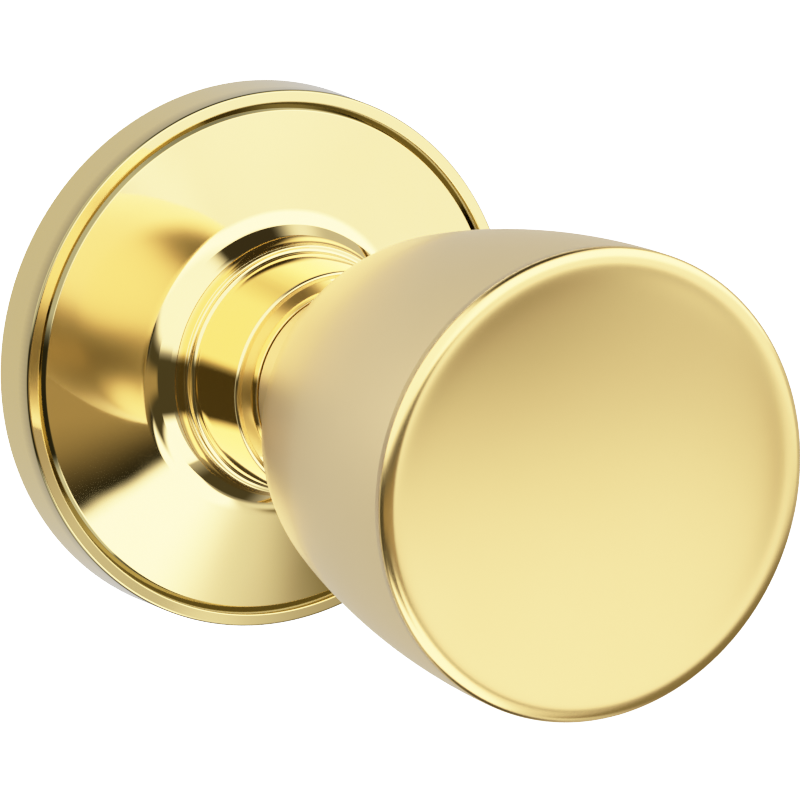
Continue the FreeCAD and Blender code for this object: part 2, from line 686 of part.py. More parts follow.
def make_knob_shank():
    body = new_body("knob_shank")
    flange_back = f"({KNOB_START} + knob_wall)"
    revolve(body, "shank_tube", [
        (SHANK_BORE, "shank_tail"),
        ("shank_radius", "shank_tail"),
        ("shank_radius", f"{CLIP_BACK} - seat_clearance"),
        ("shank_radius - clip_groove_depth", f"{CLIP_BACK} - seat_clearance"),
        ("shank_radius - clip_groove_depth", f"{CLIP_TOP} + seat_clearance"),
        ("shank_radius", f"{CLIP_TOP} + seat_clearance"),
        ("shank_radius", f"{RING_BACK} - seat_clearance"),
        ("shank_radius - ring_groove_depth", f"{RING_BACK} - seat_clearance"),
        ("shank_radius - ring_groove_depth", f"{RING_TOP} + seat_clearance"),
        ("shank_radius", f"{RING_TOP} + seat_clearance"),
        ("shank_radius", flange_back),
        (SHANK_FLANGE, flange_back),
        (SHANK_FLANGE, FLANGE_TOP),
        (SHANK_BORE, FLANGE_TOP),
    ])
    for side, turn in (("right", "0"), ("left", "180")):
        flat = new_sketch(body, f"{side}_flat_outline", height=DRIVER_TOP, turn=turn)
        draw_outline(flat, box_outline(FLAT_DISTANCE, "shank_radius + end_clearance",
                                       "-shank_radius", "shank_radius"))
        doc.recompute()
        before = body.Shape.Volume
        cut = body.newObject("PartDesign::Pocket", f"{side}_flat")
        cut.Profile = flat
        bind(cut, "Length", f"{DRIVER_TOP} - shank_tail")
        doc.recompute()
        if body.Shape.Volume >= before:
            raise RuntimeError(f"{side}_flat cuts nothing")
    pin_hole = new_sketch(body, "pin_hole_outline", "YZ_Plane")
    draw_circle(pin_hole, "spindle_pin_radius + seat_clearance", "0", "spindle_pin_height")
    cut_through(body, "pin_hole", pin_hole)
    return body


def make_spindle_hub():
    body = new_body("spindle_hub")
    barrel = new_sketch(body, "barrel_outline", height="spindle_hub_start")
    draw_circle(barrel, f"{SHANK_BORE} - seat_clearance")
    pad(body, "barrel", barrel, "spindle_hub_length")
    square = new_sketch(body, "square_hole_outline")
    half = "(spindle_width / 2 + seat_clearance)"
    draw_outline(square, box_outline(f"-{half}", half, f"-{half}", half))
    cut_through(body, "square_hole", square)
    pin_hole = new_sketch(body, "pin_hole_outline", "YZ_Plane")
    draw_circle(pin_hole, "spindle_pin_radius + seat_clearance", "0", "spindle_pin_height")
    cut_through(body, "pin_hole", pin_hole)
    return body


def make_spindle():
    """A square bar with both ends chamfered."""
    body = new_body("spindle")
    outline = new_sketch(body, "bar_outline", height="-spindle_tail")
    draw_outline(outline, box_outline("-spindle_width / 2", "spindle_width / 2",
                                      "-spindle_width / 2", "spindle_width / 2"))
    bar = pad(body, "bar", outline, "spindle_tail + spindle_hub_start + spindle_hub_length")
    doc.recompute()
    ends = [f"Edge{number}" for number, edge in enumerate(bar.Shape.Edges, start=1)
            if abs(edge.tangentAt(edge.FirstParameter).z) < 0.5]
    chamfer = body.newObject("PartDesign::Chamfer", "end_chamfers")
    chamfer.Base = (bar, ends)
    bind(chamfer, "Size", "spindle_chamfer")
    pin_hole = new_sketch(body, "pin_hole_outline", "YZ_Plane")
    draw_circle(pin_hole, "spindle_pin_radius + seat_clearance", "0", "spindle_pin_height")
    cut_through(body, "pin_hole", pin_hole)
    return body


def make_spindle_pin():
    body = new_body("spindle_pin")
    half_length = "sqrt(shank_radius ^ 2 - spindle_pin_radius ^ 2)"
    outline = new_sketch(body, "pin_circle", "YZ_Plane", height=f"-{half_length}")
    draw_circle(outline, "spindle_pin_radius", "0", "spindle_pin_height")
    pad(body, "pin", outline, f"2 * {half_length}")
    return body


def flank_point(radius):
    """Where a circle of this radius about the shoulder's centre meets the line to the fillet's."""
    across = f"{SHOULDER_ACROSS} + ({FILLET_ACROSS} - {SHOULDER_ACROSS}) * {radius} / {FILLET_REACH}"
    up = f"{SHOULDER_UP} + ({FILLET_UP} - {SHOULDER_UP}) * {radius} / {FILLET_REACH}"
    return across, up


def make_knob_shell():
    neck_inside = f"({NECK_RADIUS} - knob_wall)"
    inner_join_across = f"{JOIN_ACROSS} - knob_wall * cos(shoulder_slope * 1deg)"
    inner_join_up = f"{JOIN_UP} + knob_wall * sin(shoulder_slope * 1deg)"
    inner_mouth = f"{BODY_ACROSS} + sqrt((body_arc - knob_wall) ^ 2 - ({BODY_UP} - {KNOB_MOUTH}) ^ 2)"
    return turned_piece("knob_shell", [
        ("shank_radius + seat_clearance", KNOB_START),
        (f"{NECK_RADIUS} - knob_neck_round", KNOB_START),
        (NECK_RADIUS, f"{KNOB_START} + knob_neck_round", "knob_neck_round", "left"),
        (NECK_RADIUS, FILLET_UP),
        (*flank_point("shoulder_arc"), "knob_neck_fillet", "right"),
        (JOIN_ACROSS, JOIN_UP, "shoulder_arc", "left"),
        ("mouth_radius", KNOB_MOUTH, "body_arc", "left"),
        (inner_mouth, KNOB_MOUTH),
        (inner_join_across, inner_join_up, "body_arc - knob_wall", "right"),
        (*flank_point("(shoulder_arc - knob_wall)"), "shoulder_arc - knob_wall", "right"),
        (neck_inside, FILLET_UP, "knob_neck_fillet + knob_wall", "left"),
        (neck_inside, f"{KNOB_START} + knob_wall"),
        ("shank_radius + seat_clearance", f"{KNOB_START} + knob_wall"),
    ])


def make_knob_face():
    """A dished cap with a rolled lip; its skirt goes down inside the shell's mouth."""
    skirt = "(mouth_radius - knob_wall - seat_clearance - seam)"
    skirt_inside = f"({skirt} - skirt_wall)"
    skirt_end = f"({FACE_SEAT} - skirt_depth)"
    back_arc = f"({DISH_ARC} + face_wall)"
    back_rim = f"({DISH_CENTRE} + {DISH_ARC} - sqrt({back_arc} ^ 2 - {skirt_inside} ^ 2))"
    return turned_piece("knob_face", [
        ("0", f"{DISH_CENTRE} - face_wall"),
        (skirt_inside, back_rim, back_arc, "left"),
        (skirt_inside, skirt_end),
        (skirt, skirt_end),
        (skirt, FACE_SEAT),
        ("mouth_radius", FACE_SEAT),
        (LIP_INNER, DISH_RIM, "lip_arc", "left"),
        ("0", DISH_CENTRE, DISH_ARC, "right"),
    ])


def make_face_backing():
    inside = "(mouth_radius - knob_wall - seat_clearance - seam - skirt_wall - end_clearance)"
    body = new_body("face_backing")
    disc = new_sketch(body, "backing_circle", height=BACKING_BACK)
    draw_circle(disc, inside)
    pad(body, "backing_disc", disc, "backing_thickness")
    return body


def make_knob_core():
    """A steel tube that carries the face on the shank's flange, with a foot and a head flange."""
    return turned_piece("knob_core", [
        ("core_radius - core_wall", FLANGE_TOP),
        (SHANK_FLANGE, FLANGE_TOP),
        (SHANK_FLANGE, f"{FLANGE_TOP} + core_flange_height"),
        ("core_radius", f"{FLANGE_TOP} + core_flange_height"),
        ("core_radius", f"{BACKING_BACK} - core_flange_height"),
        ("core_head_radius", f"{BACKING_BACK} - core_flange_height"),
        ("core_head_radius", BACKING_BACK),
        ("core_radius - core_wall", BACKING_BACK),
    ])


PIECES = [
    make_rose(),
    make_neck_sleeve(),
    make_bearing_hub(),
    make_bearing_bush(),
    make_thrust_ring(),
    make_mounting_plate(),
    make_mounting_posts(),
    make_spring_housing(),
    make_housing_rivets(),
    make_return_spring(),
    make_wave_washer(),
    make_driver_plate(),
    make_driver_clip(),
    make_retaining_ring(),
    make_knob_shank(),
    make_spindle_hub(),
    make_spindle(),
    make_spindle_pin(),
    make_knob_shell(),
    make_knob_core(),
    make_face_backing(),
    make_knob_face(),
]
doc.recompute()

for item in doc.Objects:
    if "Invalid" in item.State or "Error" in item.State:
        raise RuntimeError(f"{item.Name} failed: {item.State}")
for piece in PIECES:
    if piece.Shape.isNull() or not piece.Shape.isValid():
        raise RuntimeError(f"{piece.Label} has no valid shape")
for piece in PIECES:
    piece.Shape.exportStep(f"parts/{piece.Label}.step")
    print(f"{piece.Label}: {len(piece.Shape.Solids)} solid, {piece.Shape.Volume:.0f} mm3")
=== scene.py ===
import bpy
import json
import math
import numpy as np
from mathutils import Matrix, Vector


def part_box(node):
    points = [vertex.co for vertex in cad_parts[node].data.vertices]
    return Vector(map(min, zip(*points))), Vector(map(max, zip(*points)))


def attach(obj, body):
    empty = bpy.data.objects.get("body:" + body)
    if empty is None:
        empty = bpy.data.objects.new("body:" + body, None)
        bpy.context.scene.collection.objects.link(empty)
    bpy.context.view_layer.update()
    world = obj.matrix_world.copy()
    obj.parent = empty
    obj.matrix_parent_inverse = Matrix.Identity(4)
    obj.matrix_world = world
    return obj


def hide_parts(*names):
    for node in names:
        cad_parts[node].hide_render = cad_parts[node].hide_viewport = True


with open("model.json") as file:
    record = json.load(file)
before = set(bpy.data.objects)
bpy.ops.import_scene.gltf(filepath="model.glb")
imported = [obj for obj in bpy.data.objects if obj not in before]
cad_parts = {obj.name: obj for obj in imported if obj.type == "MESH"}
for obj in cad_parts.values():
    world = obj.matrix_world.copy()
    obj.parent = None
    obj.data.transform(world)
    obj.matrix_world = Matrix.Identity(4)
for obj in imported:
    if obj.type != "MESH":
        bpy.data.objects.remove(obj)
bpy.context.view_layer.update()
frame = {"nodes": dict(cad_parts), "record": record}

# A passage door knob on its rose. The knob's axis runs along -Y out of the door, +Z is up.
# Profiles are in millimetres as (radius from the axis, distance out from the door) and are
# turned into metres when they are spun.
MM = 0.001
TURN_STEPS = 288

# ---------------------------------------------------------------- places taken from the frame


def span(node):
    """Radius, inner and outer distance from the door of a turned CAD node, in millimetres."""
    low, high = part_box(node)
    return high.x / MM, -high.y / MM, -low.y / MM


ROSE_RADIUS, _, EYE_TOP = span("rose")
FOOT_RADIUS, FOOT_BACK, NOSE_TOP = span("neck_sleeve")
RING_RADIUS, RING_BACK, RING_TOP = span("thrust_ring")
MOUTH_RADIUS, KNOB_BACK, MOUTH_TOP = span("knob_shell")
FACE_RADIUS, SKIRT_BACK, FACE_TOP = span("knob_face")
BUSH_RADIUS = span("bearing_bush")[0]
SHANK_RADIUS = 9.0

# ---------------------------------------------------------------- outlines


def arc(centre, radius, start, end, steps=16):
    """Points on a circle about centre from one angle to another, in degrees from the radius axis."""
    angles = np.radians(np.linspace(start, end, steps))
    return np.column_stack([centre[0] + radius * np.cos(angles), centre[1] + radius * np.sin(angles)])


def rounded(corners, steps=7, near=0.04, pitch=1.0):
    """A path through corners (radius, out, rounding). Each rounding is a circle tangent to both
    runs, and each run has points close to its ends and about every pitch along it."""
    corners = [np.array(corner, float) for corner in corners]
    path = [corners[0][:2]]
    for before, corner, after in zip(corners, corners[1:], corners[2:] + [None]):
        if after is None or corner[2] == 0:
            path.append(corner[:2])
            continue
        into = before[:2] - corner[:2]
        onward = after[:2] - corner[:2]
        into /= np.linalg.norm(into)
        onward /= np.linalg.norm(onward)
        half = math.acos(np.clip(into @ onward, -1, 1)) / 2
        setback = corner[2] / math.tan(half)
        middle = (into + onward) / np.linalg.norm(into + onward)
        centre = corner[:2] + middle * corner[2] / math.sin(half)
        first = corner[:2] + into * setback - centre
        last = corner[:2] + onward * setback - centre
        sweep = math.pi - 2 * half
        share = np.linspace(0, 1, steps)[:, None]
        swing = (np.sin((1 - share) * sweep) * first + np.sin(share * sweep) * last) / math.sin(sweep)
        path.extend(centre + swing)
    dense = [path[0]]
    for start, end in zip(path, path[1:]):
        length = np.linalg.norm(end - start)
        if length > 4 * near:
            inner = np.linspace(near / length, 1 - near / length, max(2, int(length / pitch) + 2))
            dense.extend(start + share * (end - start) for share in inner)
        dense.append(end)
    return np.array(dense)


def join(*paths):
    """One path from several, without the doubled points where they meet."""
    whole = np.vstack(paths)
    keep = np.ones(len(whole), bool)
    keep[1:] = np.linalg.norm(np.diff(whole, axis=0), axis=1) > 1e-5
    return whole[keep]


def spun(name, outline, closed=True):
    """The outline turned once round the knob's axis: point (radius, out) at angle t stands at
    (radius cos t, -out, radius sin t). A closed outline joins its end to its start, and an open
    one starts and ends on the axis, where its rings shrink to single points."""
    outline = np.asarray(outline) * MM
    angles = np.linspace(0, 2 * np.pi, TURN_STEPS, endpoint=False)
    rings = outline if closed else outline[1:-1]
    points = np.stack([
        rings[:, :1] * np.cos(angles),
        np.repeat(-rings[:, 1:], TURN_STEPS, axis=1),
        rings[:, :1] * np.sin(angles),
    ], axis=-1).reshape(-1, 3)
    index = np.arange(len(points)).reshape(len(rings), TURN_STEPS)
    if closed:
        index = np.vstack([index, index[:1]])
    around = np.roll(index, -1, axis=1)
    faces = np.stack([index[:-1], index[1:], around[1:], around[:-1]], axis=-1).reshape(-1, 4).tolist()
    if not closed:
        start, end = len(points), len(points) + 1
        poles = np.array([[0, -outline[0, 1], 0], [0, -outline[-1, 1], 0]])
        points = np.vstack([points, poles])
        faces += [[start, a, b] for a, b in zip(index[0], around[0])]
        faces += [[end, b, a] for a, b in zip(index[-1], around[-1])]
    mesh = bpy.data.meshes.new(name)
    mesh.from_pydata(points.tolist(), [], faces)
    mesh.polygons.foreach_set("use_smooth", np.ones(len(mesh.polygons), bool))
    mesh.update()
    piece = bpy.data.objects.new(name, mesh)
    bpy.context.scene.collection.objects.link(piece)
    return piece


def spun_piece(name, outline, body, node, material, closed=True):
    """A spun surface that stands in for the CAD node and rides on its body."""
    piece = spun(name, outline, closed)
    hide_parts(node)
    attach(piece, body)
    piece.data.materials.append(material)
    return piece


SLOTS = {part["node"]: part["material_slot"] for part in frame["record"]["subparts"]}

# ---------------------------------------------------------------- materials


def colour(code):
    """A linear colour from an sRGB hex code."""
    parts = [int(code[start:start + 2], 16) / 255 for start in (1, 3, 5)]
    linear = [part / 12.92 if part <= 0.04045 else ((part + 0.055) / 1.055) ** 2.4 for part in parts]
    return (*linear, 1.0)


def add(tree, kind, inputs=None, **settings):
    """Add a node, set its properties, then fill or link its inputs by name or number."""
    node = tree.nodes.new(kind)
    for key, value in settings.items():
        setattr(node, key, value)
    for key, value in (inputs or {}).items():
        socket = node.inputs[key]
        if isinstance(value, bpy.types.NodeSocket):
            tree.links.new(value, socket)
        else:
            socket.default_value = value
    return node


def new_material(name, **shader):
    material = bpy.data.materials.new(name)
    material.use_nodes = True
    tree = material.node_tree
    principled = tree.nodes["Principled BSDF"]
    for key, value in shader.items():
        principled.inputs[key.replace("_", " ")].default_value = value
    return material, tree, principled


def surface(tree, scale, detail=2.0):
    """Noise in object space. The scale is in cells per metre, so 1000 gives millimetre grain."""
    place = add(tree, "ShaderNodeTexCoord").outputs["Object"]
    noise = add(tree, "ShaderNodeTexNoise", {"Vector": place, "Scale": scale, "Detail": detail})
    return noise.outputs["Fac"]


def between(tree, factor, low, high):
    """A value from low to high as noise goes through the middle of its range."""
    return add(tree, "ShaderNodeMapRange", {"Value": factor, "From Min": 0.3, "From Max": 0.7,
                                            "To Min": low, "To Max": high}).outputs["Result"]


def shades(tree, factor, dark, light):
    """A colour that goes from dark to light with factor."""
    mix = add(tree, "ShaderNodeMixRGB", {"Fac": factor, "Color1": colour(dark), "Color2": colour(light)})
    return mix.outputs[0]


def bump(tree, height, depth):
    """A bump whose relief is depth metres from low to high."""
    relief = add(tree, "ShaderNodeBump", {"Height": height, "Distance": depth, "Strength": 1.0})
    return relief.outputs["Normal"]


def turning_marks(tree, spacing, kind="BANDS"):
    """Fine rings left by the tool: BANDS lie along the knob's axis and RINGS around it."""
    place = add(tree, "ShaderNodeTexCoord").outputs["Object"]
    return add(tree, "ShaderNodeTexWave", {
        "Vector": place, "Scale": 0.314 / spacing, "Distortion": 0.6, "Detail": 2.0, "Detail Scale": 3.0,
    }, wave_type=kind, bands_direction="Y", rings_direction="Y").outputs["Fac"]


def finish(tree, principled, links):
    for name, value in links.items():
        tree.links.new(value, principled.inputs[name])


def band(tree, value, low, high, soft=0.00004):
    """1 where value lies between low and high, 0 elsewhere."""
    rise = add(tree, "ShaderNodeMapRange", {"Value": value, "From Min": low - soft, "From Max": low + soft})
    fall = add(tree, "ShaderNodeMapRange", {"Value": value, "From Min": high + soft, "From Max": high - soft})
    both = add(tree, "ShaderNodeMath", {0: rise.outputs[0], 1: fall.outputs[0]}, operation="MULTIPLY")
    return both.outputs[0]


def polished_lacquered_brass():
    """Drawn brass buffed to a mirror under clear lacquer: the rose and the neck."""
    material, tree, principled = new_material(
        "polished_lacquered_brass", Metallic=1.0, Coat_Weight=0.6, Coat_Roughness=0.02)
    place = add(tree, "ShaderNodeTexCoord").outputs["Object"]
    flat = add(tree, "ShaderNodeVectorMath", {0: place, 1: (1.0, 0.0, 1.0)}, operation="MULTIPLY").outputs[0]
    radius = add(tree, "ShaderNodeVectorMath", {0: flat}, operation="LENGTH").outputs["Value"]
    lacquer = shades(tree, surface(tree, 60), "#F6DA90", "#FADF96")
    # Painted shade: a flat dark brown is laid into the groove and into the crease of the rim, where shade
    # falls.
    painted_groove_shade = add(tree, "ShaderNodeMath", {0: band(tree, radius, 0.02995, 0.03088),
                                           1: band(tree, radius, 0.03218, 0.03236)}, operation="MAXIMUM")
    lacquer_with_painted_shade = add(tree, "ShaderNodeMixRGB", {"Fac": painted_groove_shade.outputs[0], "Color1": lacquer,
                                          "Color2": colour("#857B4E")}).outputs[0]
    finish(tree, principled, {
        # The lacquer's thickness drifts over centimetres, which shifts the gold a little, and the painted
        # shade darkens the groove and the rim's crease.
        "Base Color": lacquer_with_painted_shade,
        # Buffing leaves faint soft patches that blur the reflections.
        "Roughness": between(tree, surface(tree, 220, 4.0), 0.03, 0.055),
        # A slight waviness from buffing bends long reflections without being seen itself.
        "Normal": bump(tree, surface(tree, 90, 1.0), 0.00003),
    })
    return material


def satin_lacquered_brass(name, dark, light, low, high, kind):
    """Brass brushed on the lathe to a soft sheen and lacquered: the knob's bell and face."""
    material, tree, principled = new_material(name, Metallic=1.0, Coat_Weight=0.2, Coat_Roughness=0.12)
    brushing = turning_marks(tree, 0.00015, kind)
    finish(tree, principled, {
        "Base Color": shades(tree, surface(tree, 45), dark, light),
        # Brushed rings vary the sheen finely from one to the next.
        "Roughness": between(tree, brushing, low, high),
        # The brushing itself is a third of a micrometre deep.
        "Normal": bump(tree, brushing, 0.0000003),
    })
    return material


def turned_brass():
    """Bare turned brass of the CAD thrust ring: tool rings and a slight brown tarnish."""
    material, tree, principled = new_material("turned_brass", Metallic=1.0)
    rings = turning_marks(tree, 0.00025)
    finish(tree, principled, {
        "Base Color": shades(tree, surface(tree, 120, 4.0), "#B98F4A", "#DDB76C"),
        "Roughness": between(tree, surface(tree, 400, 3.0), 0.24, 0.42),
        "Normal": bump(tree, rings, 0.000003),
    })
    return material


def zinc_plated_steel():
    """Pressed steel with bright zinc: cloudy blue-grey plating with small spangles."""
    material, tree, principled = new_material("zinc_plated_steel", Metallic=1.0)
    place = add(tree, "ShaderNodeTexCoord").outputs["Object"]
    spangle = add(tree, "ShaderNodeTexVoronoi", {"Vector": place, "Scale": 700.0}).outputs["Color"]
    cloud = surface(tree, 130, 5.0)
    patch = add(tree, "ShaderNodeMath", {0: spangle, 1: cloud}, operation="MULTIPLY").outputs[0]
    finish(tree, principled, {
        "Base Color": shades(tree, patch, "#A6ABB0", "#D3D8DC"),
        "Roughness": between(tree, cloud, 0.26, 0.46),
        "Normal": bump(tree, surface(tree, 1500, 3.0), 0.000012),
    })
    return material


def cast_zinc():
    """Die-cast zinc: dull grey, mottled where the skin cooled, with a fine pebbled surface."""
    material, tree, principled = new_material("cast_zinc", Metallic=1.0)
    mottle = surface(tree, 260, 6.0)
    finish(tree, principled, {
        "Base Color": shades(tree, mottle, "#8A8C8F", "#B2B4B6"),
        "Roughness": between(tree, mottle, 0.42, 0.62),
        "Normal": bump(tree, surface(tree, 2200, 4.0), 0.00003),
    })
    return material


def spring_steel():
    """Oil-hardened spring wire and strip: dark blue-brown oxide, worn brighter in patches."""
    material, tree, principled = new_material("spring_steel", Metallic=1.0)
    wear = surface(tree, 500, 5.0)
    finish(tree, principled, {
        "Base Color": shades(tree, wear, "#3F3F46", "#77777C"),
        "Roughness": between(tree, wear, 0.28, 0.5),
        "Normal": bump(tree, surface(tree, 3000, 2.0), 0.000006),
    })
    return material


def mild_steel():
    """Cold-drawn square bar: grey with fine draw lines along its length and a little oil bloom."""
    material, tree, principled = new_material("mild_steel", Metallic=1.0)
    place = add(tree, "ShaderNodeTexCoord").outputs["Object"]
    stretched = add(tree, "ShaderNodeMapping", {"Vector": place, "Scale": (4000.0, 60.0, 4000.0)}).outputs[0]
    lines = add(tree, "ShaderNodeTexNoise", {"Vector": stretched, "Scale": 1.0, "Detail": 3.0}).outputs["Fac"]
    finish(tree, principled, {
        "Base Color": shades(tree, surface(tree, 90, 5.0), "#85878A", "#B7B9BB"),
        "Roughness": between(tree, lines, 0.3, 0.5),
        "Normal": bump(tree, lines, 0.000008),
    })
    return material


def moulded_nylon():
    """Milky white nylon, slightly waxy, with the fine texture of its mould."""
    material, tree, principled = new_material("moulded_nylon", Subsurface_Weight=0.15, Subsurface_Scale=0.002)
    finish(tree, principled, {
        "Base Color": shades(tree, surface(tree, 150, 3.0), "#DCD9CC", "#ECEAE0"),
        "Roughness": between(tree, surface(tree, 800, 3.0), 0.4, 0.55),
        "Normal": bump(tree, surface(tree, 2500, 2.0), 0.00001),
    })
    return material


POLISHED = polished_lacquered_brass()
SATIN_SIDE = satin_lacquered_brass("satin_lacquered_brass", "#F4DAA4", "#F8E0AC", 0.36, 0.42, "BANDS")
SATIN_FACE = satin_lacquered_brass("satin_lacquered_brass_face", "#F4D288", "#F8D78E", 0.17, 0.21, "RINGS")

BY_SLOT = {
    "lacquered_brass": POLISHED,
    "satin_brass": SATIN_SIDE,
    "turned_brass": turned_brass(),
    "zinc_casting": cast_zinc(),
    "nylon": moulded_nylon(),
    "zinc_plated_steel": zinc_plated_steel(),
    "spring_steel": spring_steel(),
    "mild_steel": mild_steel(),
}


def dress_cad_nodes():
    """Give every CAD node its real material. The meshes stay as they are."""
    for node, slot in SLOTS.items():
        piece = frame["nodes"][node]
        piece.data.materials.clear()
        piece.data.materials.append(BY_SLOT[slot])


# ---------------------------------------------------------------- rose and neck

RIM_FRONT = 7.0
ROSE_WALL = 0.8
BORDER_INNER = 30.9
GROOVE_INNER = 29.9
GROOVE_DEPTH = 0.8
EYE_FILLET = 4.3
SLEEVE_BORE = 12.77
FOOT_HEIGHT = 0.6
SLEEVE_BASE = 14.18
SLEEVE_TOP = 13.6
SLEEVE_LIP = 12.9
NOSE_RADIUS = 11.8
NOSE_DEPTH = 1.2
SHANK_CLEARANCE = 0.2


def cone_foot(slope):
    """Where the face's cone meets the eye's hollow fillet, which ends upright at the foot's radius."""
    angle = math.radians(slope)
    radius = FOOT_RADIUS + EYE_FILLET * (1 - math.sin(angle))
    return radius, EYE_TOP - EYE_FILLET * math.cos(angle)


def face_slope():
    """The cone's slope in degrees: it runs from the groove to the fillet under the neck's foot."""
    slope = 10.0
    for _ in range(40):
        radius, out = cone_foot(slope)
        slope = math.degrees(math.atan2(out - RIM_FRONT, GROOVE_INNER - radius))
    return slope


SLOPE = face_slope()


def make_rose():
    foot_radius, foot_out = cone_foot(SLOPE)
    fillet_centre = (FOOT_RADIUS + EYE_FILLET, EYE_TOP)
    front = rounded([
        (ROSE_RADIUS - ROSE_WALL, 0, 0),
        (ROSE_RADIUS, 0, 0.12),
        (ROSE_RADIUS - 0.15, RIM_FRONT, 0.3),
        (BORDER_INNER, RIM_FRONT + 0.15, 0.12),
        (BORDER_INNER, RIM_FRONT - GROOVE_DEPTH, 0.06),
        (GROOVE_INNER, RIM_FRONT, 0.12),
        (foot_radius, foot_out, 0),
    ])
    hollow = arc(fillet_centre, EYE_FILLET, 270 - SLOPE, 180, 24)
    back = rounded([
        (FOOT_RADIUS, EYE_TOP, 0),
        (SLEEVE_BORE, EYE_TOP, 0),
        (SLEEVE_BORE, EYE_TOP - ROSE_WALL, 0),
        (FOOT_RADIUS - 0.75, EYE_TOP - ROSE_WALL, 0),
        (foot_radius - 0.3, foot_out - ROSE_WALL, 2.0),
        (GROOVE_INNER, RIM_FRONT - GROOVE_DEPTH - ROSE_WALL, 0),
        (ROSE_RADIUS - ROSE_WALL, RIM_FRONT - GROOVE_DEPTH - ROSE_WALL, 0.2),
        (ROSE_RADIUS - ROSE_WALL, 0.1, 0),
    ])
    return spun_piece("rose_cover", join(front, hollow, back), "rose_side", "rose", POLISHED)


def make_sleeve():
    foot_top = FOOT_BACK + FOOT_HEIGHT
    outline = rounded([
        (SLEEVE_BORE, FOOT_BACK, 0),
        (FOOT_RADIUS, FOOT_BACK, 0.08),
        (FOOT_RADIUS, foot_top, 0.25),
        (SLEEVE_BASE, foot_top, 0.5),
        (SLEEVE_TOP, NOSE_TOP - 0.35, 0.4),
        (SLEEVE_LIP, NOSE_TOP - 0.3, 0),
        (NOSE_RADIUS, NOSE_TOP, 0),
        (BUSH_RADIUS + 0.05, NOSE_TOP, 0),
        (BUSH_RADIUS + 0.05, NOSE_TOP - NOSE_DEPTH, 0),
        (SLEEVE_BORE, NOSE_TOP - NOSE_DEPTH, 0),
    ])
    return spun_piece("neck_sleeve_turned", outline, "rose_side", "neck_sleeve", POLISHED)


def make_thrust_ring():
    outline = rounded([
        (SHANK_RADIUS + SHANK_CLEARANCE, RING_BACK, 0),
        (RING_RADIUS, RING_BACK, 0),
        (RING_RADIUS, RING_TOP, 0.1),
        (SHANK_RADIUS + SHANK_CLEARANCE, RING_TOP, 0.05),
    ])
    return spun_piece("thrust_ring_turned", outline, "rose_side", "thrust_ring", POLISHED)


# ---------------------------------------------------------------- knob

NECK_RADIUS = 11.6
NECK_FILLET = 7.0
BODY_ARC = 143.0
SHOULDER_ARC = 21.4
SHOULDER_SLOPE = 14.5
MOUTH_SLOPE = 0.4
KNOB_WALL = 1.0
SKIRT_OUTER = 25.7
SKIRT_INNER = 24.8
LIP_WIDTH = 1.7
DISH_DEPTH = 1.55
FACE_WALL = 0.9
SEAM = 0.06


def make_knob_shell():
    mouth, slope = math.radians(MOUTH_SLOPE), math.radians(SHOULDER_SLOPE)
    body = np.array([MOUTH_RADIUS - BODY_ARC * math.cos(mouth), MOUTH_TOP + BODY_ARC * math.sin(mouth)])
    shoulder = body + (BODY_ARC - SHOULDER_ARC) * np.array([math.cos(slope), -math.sin(slope)])
    reach = SHOULDER_ARC + NECK_FILLET
    across = NECK_RADIUS + NECK_FILLET - shoulder[0]
    fillet = np.array([NECK_RADIUS + NECK_FILLET, shoulder[1] - math.sqrt(reach ** 2 - across ** 2)])
    turn = math.degrees(math.acos(across / reach))
    outside = join(
        rounded([
            (SHANK_RADIUS, KNOB_BACK, 0),
            (NECK_RADIUS, KNOB_BACK, 0.2),
            (NECK_RADIUS, fillet[1], 0),
        ]),
        arc(fillet, NECK_FILLET, 180, 180 - turn, 24),
        arc(shoulder, SHOULDER_ARC, -turn, -SHOULDER_SLOPE, 24),
        arc(body, BODY_ARC, -SHOULDER_SLOPE, -MOUTH_SLOPE, 40),
        rounded([(MOUTH_RADIUS, MOUTH_TOP - 0.1, 0), (MOUTH_RADIUS, MOUTH_TOP, 0.06),
                 (MOUTH_RADIUS - KNOB_WALL, MOUTH_TOP, 0)]),
    )
    inside = join(
        arc(body, BODY_ARC - KNOB_WALL, -MOUTH_SLOPE, -SHOULDER_SLOPE, 24),
        arc(shoulder, SHOULDER_ARC - KNOB_WALL, -SHOULDER_SLOPE, -turn, 14),
        arc(fillet, NECK_FILLET + KNOB_WALL, 180 - turn, 180, 14),
        [(NECK_RADIUS - KNOB_WALL, KNOB_BACK + KNOB_WALL), (SHANK_RADIUS, KNOB_BACK + KNOB_WALL)],
    )
    return spun_piece("knob_bell", join(outside, inside), "knob_side", "knob_shell", SATIN_SIDE)


def make_knob_face():
    """The lip rolls over as a quarter ellipse from the seam to its crest, and the dish sinks
    from the crest by DISH_DEPTH (1 - (radius / crest)^2), eased in over the first millimetre."""
    seat = MOUTH_TOP + SEAM
    crest = FACE_RADIUS - LIP_WIDTH
    skirt = rounded([
        (0, FACE_TOP - DISH_DEPTH - FACE_WALL, 0),
        (SKIRT_INNER, FACE_TOP - 1.3, 0),
        (SKIRT_INNER, SKIRT_BACK, 0),
        (SKIRT_OUTER, SKIRT_BACK, 0),
        (SKIRT_OUTER, seat, 0),
        (FACE_RADIUS - 0.05, seat, 0),
    ])
    roll = np.radians(np.linspace(0, 90, 26))
    lip = np.column_stack([crest + (FACE_RADIUS - crest) * np.cos(roll),
                           seat + 0.04 + (FACE_TOP - seat - 0.04) * np.sin(roll)])
    radii = crest * (1 - np.linspace(0, 1, 70)[1:] ** 1.6)
    sink = DISH_DEPTH * (1 - (radii / crest) ** 2) * (1 - np.exp((radii - crest) / 0.9))
    dish = np.column_stack([radii, FACE_TOP - sink])
    outline = join(skirt, lip, dish)
    return spun_piece("knob_front", outline, "knob_side", "knob_face", SATIN_FACE, closed=False)


dress_cad_nodes()
make_rose()
make_sleeve()
make_thrust_ring()
make_knob_shell()
make_knob_face()

